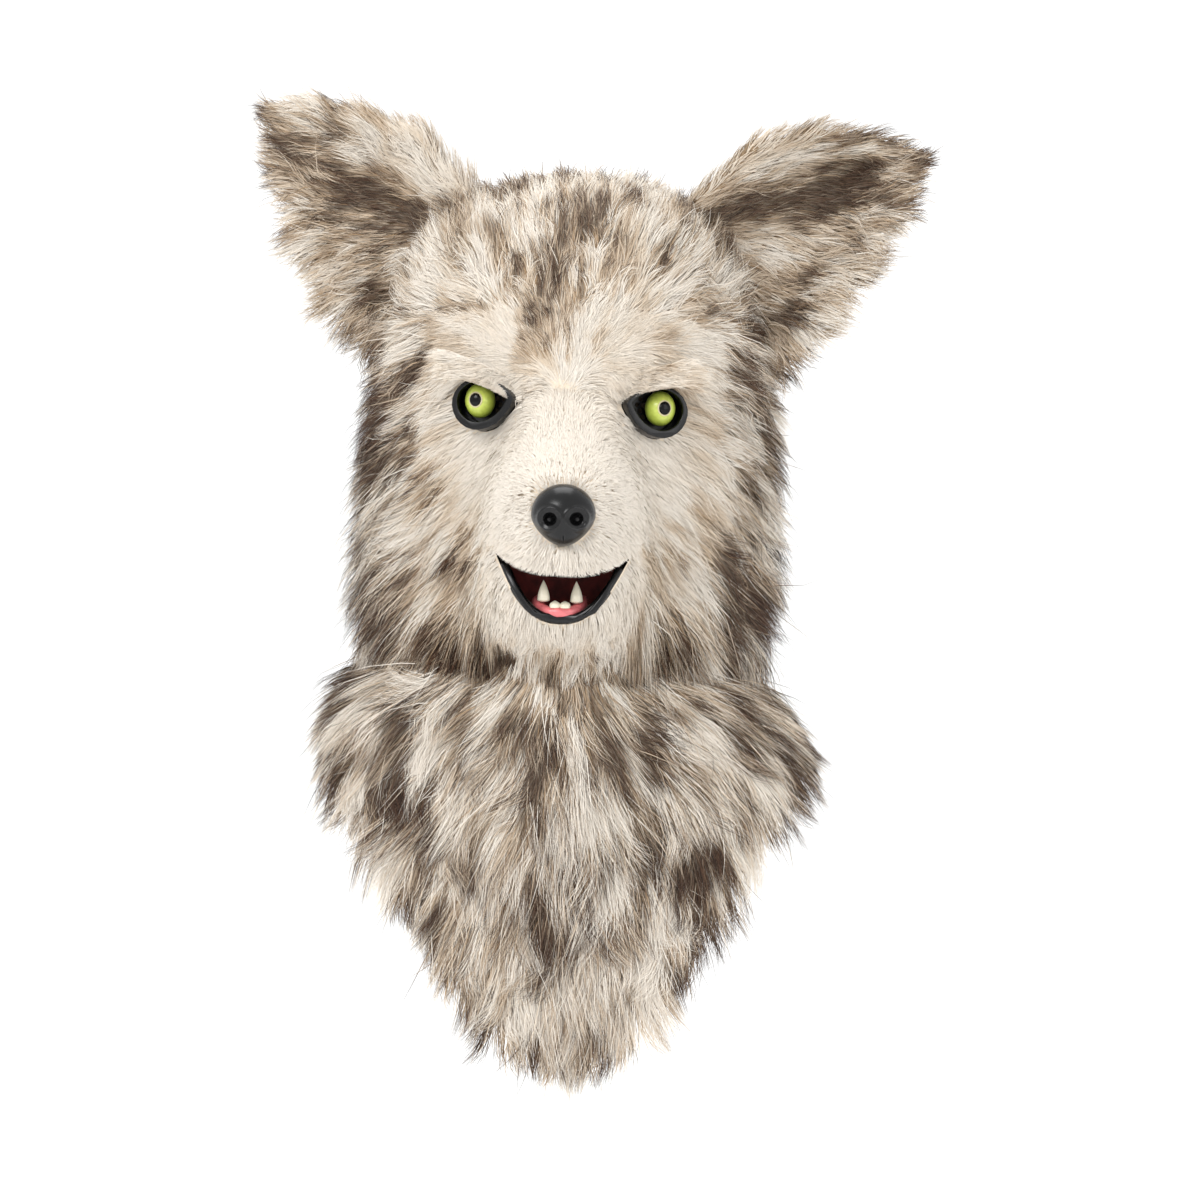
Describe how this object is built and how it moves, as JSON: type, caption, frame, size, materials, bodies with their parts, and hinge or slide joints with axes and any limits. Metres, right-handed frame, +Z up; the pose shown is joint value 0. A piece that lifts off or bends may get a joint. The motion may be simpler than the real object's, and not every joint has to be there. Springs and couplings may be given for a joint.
{
  "type": "wolf mask",
  "caption": "Full-head wolf mask of grizzled fake fur on a hollow cloth hood, with cupped ears, an open jaw with fangs and a hanging bib",
  "frame": {"origin": "the crown seat: the inside of the hood at its top, where the wearer's head carries it", "axes": "+Z up the head, -Y the way the muzzle points, +X to the viewer's right"},
  "size_m": [0.4101, 0.3639, 0.608],
  "materials": {
    "hood_cloth": "cream knitted backing cloth of the fake fur",
    "long_fur": "long grizzled fake fur, cream to grey-brown with dark tips",
    "short_plush": "short cream-white plush",
    "black_vinyl": "black moulded vinyl with a soft shine",
    "eye_green": "yellow-green painted plastic, glossy",
    "iris_ring": "pale painted ring",
    "pupil_black": "black gloss dome",
    "eye_net": "black plastic net with six-sided holes",
    "mouth_dark": "dark maroon vinyl",
    "gum_pink": "pink painted vinyl, slightly wet looking",
    "tooth_ivory": "ivory painted vinyl"
  },
  "bodies": {
    "root": {"hood": "hood_cloth", "head_fur": "long_fur", "bib_fur": "long_fur", "face_fur": "short_plush", "ear_left": "long_fur", "ear_right": "long_fur", "eye_rim_left": "black_vinyl", "eye_rim_right": "black_vinyl", "eye_net_left": "eye_net", "eye_net_right": "eye_net", "eye_ball_left": "eye_green", "eye_ball_right": "eye_green", "iris_ring_left": "iris_ring", "iris_ring_right": "iris_ring", "pupil_left": "pupil_black", "pupil_right": "pupil_black", "nose": "black_vinyl", "jaw": "black_vinyl", "mouth_back": "mouth_dark", "gum": "gum_pink", "canine_left": "tooth_ivory", "canine_right": "tooth_ivory", "incisor_left": "tooth_ivory", "incisor_right": "tooth_ivory", "rear_tooth_left": "tooth_ivory", "rear_tooth_right": "tooth_ivory"}
  },
  "joints": []
}
